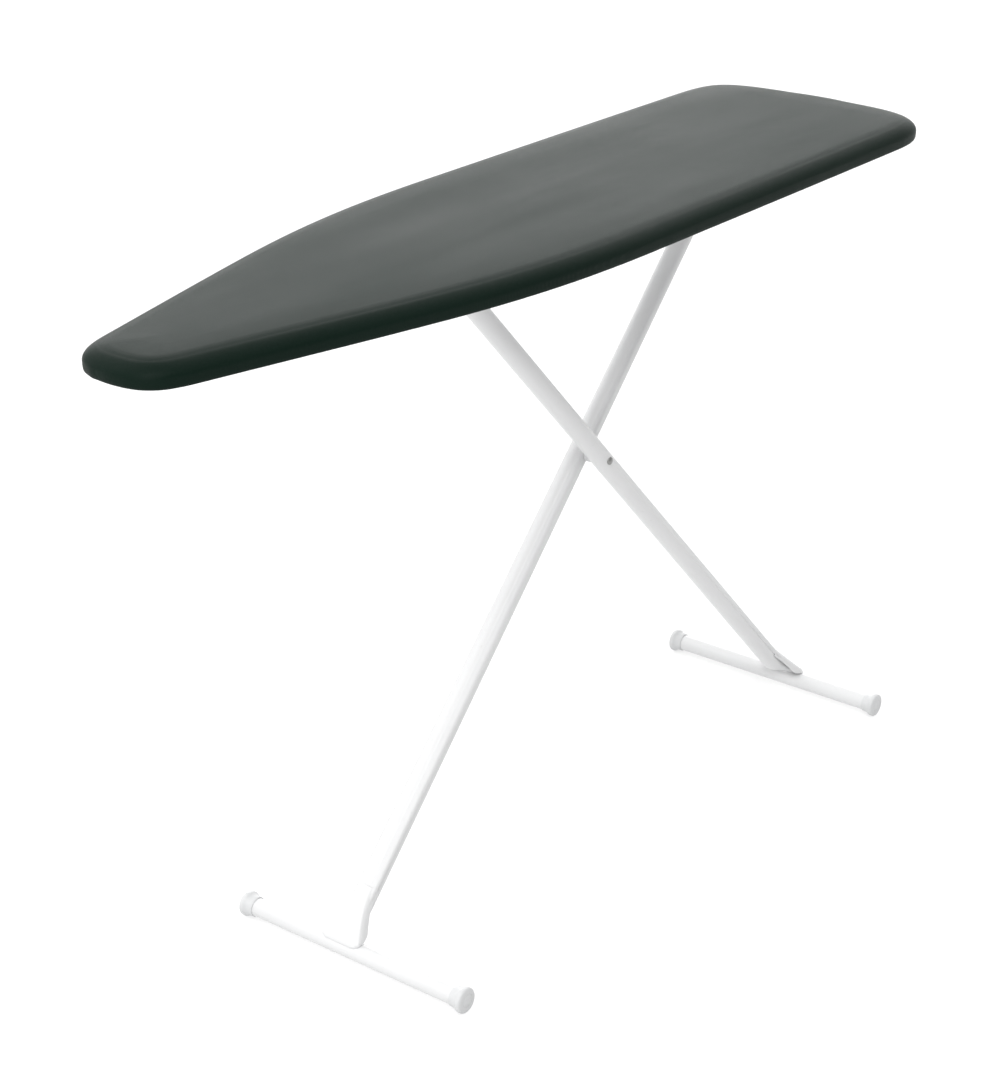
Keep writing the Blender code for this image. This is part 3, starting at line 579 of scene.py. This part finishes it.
def make_panel():
    low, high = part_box("top_panel")
    bm = bmesh.new()
    add_rings(bm, [board_ring(PANEL_INSET, low.z), board_ring(PANEL_INSET, high.z)])
    panel = add_piece("vented_panel", bm, PANEL, "board", ["top_panel"])
    places = vent_places()
    cutter = bmesh.new()
    for x, y in places:
        place = Matrix.Translation((x, y, low.z)) @ Matrix.Rotation(math.radians(30), 4, "Z")
        size = {"segments": 6, "radius1": VENT_RADIUS, "radius2": VENT_RADIUS, "depth": 0.01}
        bmesh.ops.create_cone(cutter, cap_ends=True, matrix=place, **size)
    mesh = bpy.data.meshes.new("vent_cutter")
    cutter.to_mesh(mesh)
    cutter.free()
    tool = bpy.data.objects.new("vent_cutter", mesh)
    bpy.context.scene.collection.objects.link(tool)
    step = panel.modifiers.new("vents", "BOOLEAN")
    step.object = tool
    apply_modifiers(panel)
    bpy.data.objects.remove(tool, do_unlink=True)
    lips = bmesh.new()
    for x, y in places:
        add_rings(lips, vent_lip(x, y, low.z), "loop")
    add_piece("vent_lips", lips, PANEL, "board", crease=50.0)


def vent_lip(x, y, z):
    """The drawn lip under one vent: a short hexagonal collar with a rounded mouth."""
    section = ((0.0004, 0.0), (0.0014, -0.0002), (0.0008, -0.0016))
    section += ((0.0002, -0.0019), (-0.0003, -0.0014), (-0.0004, 0.0006))
    rings = []
    for out, drop in section:
        radius = VENT_RADIUS + out
        ring = []
        for i in range(6):
            angle = math.radians(30 + 60 * i)
            ring.append(Vector((x + radius * math.cos(angle), y + radius * math.sin(angle), z + drop)))
        rings.append(ring)
    return rings


def apply_modifiers(obj):
    """Bakes an object's modifiers into its mesh."""
    graph = bpy.context.evaluated_depsgraph_get()
    mesh = bpy.data.meshes.new_from_object(obj.evaluated_get(graph))
    obj.modifiers.clear()
    obj.data = mesh


def make_rim():
    """The panel's rolled edge: a channel that opens inwards, with a round bead along its lower lip."""
    low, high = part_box("edge_rim")
    sheet = 0.001
    bead = 0.0012
    lip = 0.0128
    outer = [(lip, low.z), (0.0034, low.z), (0.0030, high.z - 0.0065), (0.0110, high.z), (0.0125, high.z)]
    inner = [(0.0125, high.z - sheet), (0.0113, high.z - sheet), (0.0041, high.z - 0.0070)]
    inner += [(0.0043, low.z + sheet), (lip, low.z + sheet)]
    section = rounded(outer, 0.0022, 4) + rounded(inner, 0.0014, 3)
    for i in range(1, 8):
        angle = math.radians(-90 + 300 * (8 - i) / 8)
        inset = lip + 0.0008 + bead * math.cos(angle)
        section.append(Vector((inset, low.z + bead + bead * math.sin(angle))))
    bm = bmesh.new()
    add_rings(bm, [board_ring(inset, z) for inset, z in section], "loop")
    return add_piece("rolled_rim", bm, PAINT, "board", ["edge_rim"])


# Legs ---------------------------------------------------------------------------------------------
def add_tube(bm, start, stop, radius, wall, sides=64, stations=24, marks=()):
    """An open tube with eased ends, with more rings at the marks."""
    direction = stop - start
    length = direction.length
    ease = wall * 0.4
    outer = [(radius - ease, 0.0), (radius, ease)]
    spots = [length * i / stations for i in range(1, stations)] + list(marks)
    outer += [(radius, spot) for spot in sorted(spots)]
    outer += [(radius, length - ease), (radius - ease, length)]
    inner = [(radius - wall + ease, length), (radius - wall, length - ease)]
    inner += [(radius - wall, ease), (radius - wall + ease, 0.0)]
    add_rings(bm, turned_rings(outer + inner, start, direction, sides), "loop")


def leg_frame(name):
    """The foot's centre under the leg, the direction up the leg, and its outer side."""
    y = centre_of(f"{name}_leg_tube").y
    foot = centre_of(f"{name}_foot_tube")
    foot.y = y
    pin = HINGE if name == "front" else SLIDE
    up = Vector((pin.x - foot.x, 0, pin.z - foot.z)).normalized()
    outer = Vector((-up.z, 0, up.x)) if up.x > 0 else Vector((up.z, 0, -up.x))
    return foot, up, outer, (Vector((pin.x, y, pin.z)) - foot).length


# The leg's pressed end: the heights where it starts and where it is flat, how much wider and thinner it
# gets, and how far it moves out to the gusset
PRESS_START = 0.058
PRESS_FLAT = 0.010
PRESS_WIDER = 0.32
PRESS_THINNER = 0.62
PRESS_OUT = 0.0078


def pressed_flat(wide, deep, height):
    """Where a point of the round leg goes: its last stretch is pressed flat, back against the gusset."""
    share = smooth_step(PRESS_START, PRESS_FLAT, height)
    return wide * (1 + PRESS_WIDER * share), deep * (1 - PRESS_THINNER * share) + PRESS_OUT * share


def make_leg_tube(name):
    """A leg from just inside its foot to a little past its top pin, with close rings where it is pressed."""
    foot, up, outer, length = leg_frame(name)
    start, past_pin = 0.004, 0.008
    marks = [0.003 * i for i in range(1, 22)]
    bm = bmesh.new()
    add_tube(bm, foot + up * start, foot + up * (length + past_pin), LEG_RADIUS, TUBE_WALL, marks=marks)
    for vert in bm.verts:
        reach = vert.co - foot
        wide, deep = pressed_flat(reach.y, reach.dot(outer), reach.dot(up))
        vert.co = foot + up * reach.dot(up) + outer * deep + Vector((0, wide, 0))
    return add_piece(f"{name}_leg", bm, PAINT, f"{name}_leg", [f"{name}_leg_tube"])


def make_foot(name):
    centre = centre_of(f"{name}_foot_tube")
    half = size_of(f"{name}_foot_tube").y / 2
    reach = Vector((0, half, 0))
    bm = bmesh.new()
    add_tube(bm, centre - reach, centre + reach, FOOT_RADIUS, TUBE_WALL)
    return add_piece(f"{name}_foot", bm, PAINT, f"{name}_leg", [f"{name}_foot_tube"])


def make_cap(name, side, label):
    """A mushroom-shaped end cap: a sleeve that flares to a rounded disc with a shallow ring in its face."""
    centre = centre_of(f"{name}_foot_tube")
    half = size_of(f"{name}_foot_tube").y / 2
    low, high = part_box(f"{name}_cap_right")
    start, end = low.y, high.y
    socket = FOOT_RADIUS + 0.0002
    profile = [
        (socket, start),
        (socket + 0.0006, start + 0.0001),
        (socket + 0.0010, start + 0.0006),
        (0.0133, start + 0.0040),
        (0.0137, start + 0.0070),
        (0.0144, start + 0.0094),
        (0.0154, start + 0.0112),
        (CAP_RADIUS - 0.0004, start + 0.0123),
        (CAP_RADIUS, start + 0.0134),
        (CAP_RADIUS, end - 0.0036),
        (CAP_RADIUS - 0.0003, end - 0.0025),
        (CAP_RADIUS - 0.0011, end - 0.0014),
        (CAP_RADIUS - 0.0026, end - 0.0008),
        (0.0100, end - 0.0003),
        (0.0094, end - 0.0007),
        (0.0086, end - 0.0007),
        (0.0080, end - 0.0002),
        (0.0040, end),
        (0.0, end),
    ]
    inside = [(0.0, half + 0.0004), (socket, half + 0.0004)]
    bm = bmesh.new()
    direction = Vector((0, side, 0))
    middle = Vector((centre.x, 0, centre.z))
    add_rings(bm, turned_rings(profile + inside, middle, direction, 64), "loop")
    piece = f"{name}_cap_{label}"
    return add_piece(f"{name}_end_cap_{label}", bm, CAP, f"{name}_leg", [piece])


# The gusset's stations up the leg: height, plate distance, half width of the flat, half width over the
# folded edges, and how far they reach back.
GUSSET_STATIONS = (
    (0.0005, 0.0121, 0.0190, 0.0212, 0.0006),
    (0.0020, 0.0128, 0.0222, 0.0250, 0.0012),
    (0.0045, 0.0136, 0.0243, 0.0280, 0.0024),
    (0.0080, 0.0141, 0.0252, 0.0297, 0.0044),
    (0.0140, 0.0141, 0.0232, 0.0290, 0.0080),
    (0.0235, 0.0141, 0.0192, 0.0260, 0.0120),
    (0.0350, 0.0141, 0.0145, 0.0216, 0.0110),
    (0.0500, 0.0141, 0.0080, 0.0168, 0.0100),
    (0.0620, 0.0139, 0.0033, 0.0146, 0.0108),
    (0.0700, 0.0137, 0.0010, 0.0139, 0.0118),
    (0.0780, 0.0136, 0.0006, 0.0137, 0.0122),
)
GUSSET_THICK = 0.0014


def between(table, share):
    """A smooth row between the rows of a table, at a share from 0 to 1 of its way."""
    spot = share * (len(table) - 1)
    i = min(int(spot), len(table) - 2)
    t = spot - i
    rows = [table[min(max(i + k, 0), len(table) - 1)] for k in (-1, 0, 1, 2)]
    made = []
    for a, b, c, d in zip(*rows):
        curve = 2 * b + (c - a) * t + (2 * a - 5 * b + 4 * c - d) * t * t + (3 * b - a - 3 * c + d) * t**3
        made.append(curve / 2)
    return made


def folded_edge(flat, half, out, depth, steps=9):
    """A quarter ellipse from the end of the plate's flat to the back of its folded edge."""
    corner = []
    for i in range(steps + 1):
        angle = math.pi / 2 * i / steps
        corner.append((flat + (half - flat) * math.sin(angle), out - depth + depth * math.cos(angle)))
    return corner


def make_gusset(name):
    """A stamped fan over leg and foot that narrows to a saddle round the tube, with eased ends."""
    foot, up, outer, _ = leg_frame(name)
    side = Vector((0, 1, 0))
    thick = GUSSET_THICK
    steps = 66
    rings = []
    for k in range(-1, steps + 2):
        height, out, flat, half, depth = between(GUSSET_STATIONS, min(max(k / steps, 0.0), 1.0))
        ease = 0.0004 if k in (-1, steps + 1) else 0.0
        if ease:
            height += 0.0003 if k > 0 else -0.0003
        face = folded_edge(flat, half + thick - ease, out + thick - ease, depth + thick - ease)
        back = folded_edge(flat, half + ease, out + ease, depth)
        lip = [(half + thick * 0.5, out - depth - 0.0003)]
        right = face + lip + list(reversed(back))
        section = right + [(-v, w) for v, w in reversed(right)]
        rings.append([foot + up * height + side * v + outer * w for v, w in section])
    bm = bmesh.new()
    add_rings(bm, rings)
    return add_piece(f"{name}_gusset_plate", bm, PAINT, f"{name}_leg", [f"{name}_gusset"], crease=50.0)


def make_welds(name):
    """Beads where the tube meets the foot, painted over."""
    foot, up, outer, _ = leg_frame(name)
    bm = bmesh.new()
    steps = 56
    bead, ripple, ripples, sides = 0.0012, 0.0002, 9, 8
    rings = []
    for i in range(steps):
        angle = 2 * math.pi * i / steps
        wide, deep = pressed_flat(LEG_RADIUS * math.cos(angle), LEG_RADIUS * math.sin(angle), PRESS_FLAT)
        deep = min(deep, FOOT_RADIUS - 0.0004)
        height = math.sqrt(FOOT_RADIUS**2 - deep**2)
        centre = foot + Vector((0, wide, 0)) + outer * deep + up * height
        radius = bead + ripple * math.sin(ripples * angle)
        outward = (Vector((0, math.cos(angle), 0)) + outer * math.sin(angle)).normalized()
        ring = []
        for k in range(sides):
            turn = 2 * math.pi * k / sides
            ring.append(centre + (outward * math.cos(turn) + up * math.sin(turn)) * radius)
        rings.append(ring)
    add_rings(bm, rings, "loop")
    return add_piece(f"{name}_weld", bm, PAINT, f"{name}_leg", crease=80.0)


def make_pivot():
    """The pivot: a domed head on the near side, a low domed end on the far side, and the bush between."""
    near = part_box("rear_leg_tube")[0].y
    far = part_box("front_leg_tube")[1].y
    centre = Vector((PIVOT.x, near, PIVOT.z))
    back = Vector((0, -1, 0))
    end = near - far - 0.0006
    dome = [(0.0039, -0.0010), (0.0052, -0.0004), (0.0053, 0.0004), (0.0049, 0.0012), (0.0038, 0.0020)]
    dome += [(0.0020, 0.0026), (0.0008, 0.0027), (0.0, 0.0027)]
    shank = [(0.0, end), (0.0033, end), (0.0036, end + 0.0006)]
    bm = bmesh.new()
    add_rings(bm, turned_rings(shank + dome, centre, back, 40))
    add_piece("pivot_rivet", bm, ZINC, "front_leg", ["pivot_bolt"])
    button = [(0.0, -0.0004), (0.0040, -0.0004), (0.0048, -0.0002), (0.0049, 0.0002), (0.0044, 0.0007)]
    button += [(0.0030, 0.0011), (0.0012, 0.0013), (0.0, 0.0013)]
    bm = bmesh.new()
    add_rings(bm, turned_rings(button, Vector((PIVOT.x, far, PIVOT.z)), Vector((0, 1, 0)), 40))
    add_piece("pivot_rivet_end", bm, ZINC, "front_leg", ["pivot_nut"])
    low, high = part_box("pivot_spacer")
    end = high.y - low.y
    ring = [(0.0044, 0.0), (0.0078, 0.0), (0.0085, 0.0007)]
    ring += [(0.0085, end - 0.0007), (0.0078, end), (0.0044, end)]
    bm = bmesh.new()
    add_rings(bm, turned_rings(ring, Vector((PIVOT.x, low.y, PIVOT.z)), Vector((0, 1, 0)), 48), "loop")
    add_piece("pivot_bush", bm, CAP, "front_leg", ["pivot_spacer"])


# Plain carry-over of the remaining CAD nodes ------------------------------------------------------
PRESSED = ("brace", "slide_track", "hinge_bracket", "lever_bracket", "height_lever", "lever_grip")


def finish_nodes():
    """Every CAD node that stays gets its material by slot, and pressed ones get eased edges."""
    by_slot = {"white_paint": PAINT, "zinc_steel": ZINC, "white_plastic": CAP, "grip_plastic": GRIP}
    slots = {part["node"]: part["material_slot"] for part in frame["record"]["subparts"]}
    for name, node in frame["nodes"].items():
        finish = by_slot.get(slots[name])
        if finish is None or node.hide_render:
            continue
        node.data.materials.clear()
        node.data.materials.append(finish)
        if name.startswith(PRESSED):
            weld = node.modifiers.new("weld", "WELD")
            weld.merge_threshold = 1e-6
            ease = node.modifiers.new("ease", "BEVEL")
            ease.width = 0.0003
            ease.segments = 2
            ease.limit_method = "ANGLE"
            ease.angle_limit = math.radians(40)


# Studio -------------------------------------------------------------------------------------------
# The surround's own dim light, and its soft glows: each one's direction, the cosine where it starts, and
# its strength at the middle. Then the floor, and where the two lamps shine
DIM = 0.05
SURROUND = (
    ((0.62, 0.55, 0.56), -0.50, 1.30),
    ((0.77, 0.60, 0.21), 0.80, 1.90),
    ((-0.60, 0.56, 0.58), 0.50, 1.10),
)
FLOOR_SIZE = 60.0
FLOOR_Z = -0.0005
FILL_DIRECTION = (0.48, 0.42, -0.77)
FILL_ANGLE = 40
PANEL_PLACE = (-2.15, -0.65, 1.25)
PANEL_AIM = (-0.60, 0.0, 0.86)


def make_studio():
    """A pale floor, a dim dome with three soft glows, a broad lamp high over the camera, and a soft panel
    off the nose."""
    bpy.ops.mesh.primitive_plane_add(size=FLOOR_SIZE, location=(0, 0, FLOOR_Z))
    floor = bpy.context.object
    floor.name = "studio_floor"
    floor.data.materials.append(floor_material())

    world = bpy.data.worlds.new("studio")
    bpy.context.scene.world = world
    world.use_nodes = True
    tree = world.node_tree
    tree.nodes["Background"].inputs["Color"].default_value = rgba(1.0, 1.0, 1.0)
    direction = tree.nodes.new("ShaderNodeTexCoord")
    total = None
    for middle, start, strength in SURROUND:
        slope = tree.nodes.new("ShaderNodeVectorMath")
        slope.operation = "DOT_PRODUCT"
        slope.inputs[1].default_value = Vector(middle).normalized()
        glow = tree.nodes.new("ShaderNodeMapRange")
        pairs = (("From Min", start), ("From Max", 1.0), ("To Min", 0.0), ("To Max", strength))
        for key, value in pairs:
            glow.inputs[key].default_value = value
        sum_node = tree.nodes.new("ShaderNodeMath")
        sum_node.operation = "ADD"
        sum_node.inputs[1].default_value = DIM
        tree.links.new(direction.outputs["Generated"], slope.inputs[0])
        tree.links.new(slope.outputs["Value"], glow.inputs["Value"])
        tree.links.new(glow.outputs["Result"], sum_node.inputs[0])
        if total is not None:
            tree.links.new(total, sum_node.inputs[1])
        total = sum_node.outputs[0]
    tree.links.new(total, tree.nodes["Background"].inputs["Strength"])

    lamp = bpy.data.lights.new("soft_fill", "SUN")
    lamp.energy = 1.7
    lamp.angle = math.radians(FILL_ANGLE)
    add_light(lamp, (0, 0, 0), Vector(FILL_DIRECTION))

    panel = bpy.data.lights.new("nose_panel", "AREA")
    panel.shape = "DISK"
    panel.size = 1.2
    panel.energy = 12.0
    add_light(panel, PANEL_PLACE, Vector(PANEL_AIM) - Vector(PANEL_PLACE))


def add_light(lamp, place, direction):
    """Stands a light at a place, shining along a direction."""
    holder = bpy.data.objects.new(lamp.name, lamp)
    holder.location = place
    holder.rotation_euler = direction.to_track_quat("-Z", "Y").to_euler()
    bpy.context.scene.collection.objects.link(holder)


CAMERA_PLACE = (-2.3089, -1.7650, 1.7399)
CAMERA_DOWN = 24.064
CAMERA_HEADING = -52.016


def make_camera():
    """A long lens from beyond the nose, on the -Y side, looking a little down."""
    data = bpy.data.cameras.new("camera")
    data.sensor_fit = "VERTICAL"
    data.sensor_height = 36.0
    data.lens = 83.33
    data.clip_end = 100.0
    camera = bpy.data.objects.new("camera", data)
    camera.location = CAMERA_PLACE
    camera.rotation_euler = (math.radians(90 - CAMERA_DOWN), 0.0, math.radians(CAMERA_HEADING))
    bpy.context.scene.collection.objects.link(camera)
    bpy.context.scene.camera = camera
    bpy.context.scene.view_settings.view_transform = "Standard"


# Build --------------------------------------------------------------------------------------------
make_camera()
make_studio()

cover = make_cover()
hem = make_hem()
pad = make_pad()
make_panel()
make_rim()
for leg in ("front", "rear"):
    make_leg_tube(leg)
    make_foot(leg)
    make_cap(leg, -1, "left")
    make_cap(leg, 1, "right")
    make_gusset(leg)
    make_welds(leg)
make_pivot()
finish_nodes()
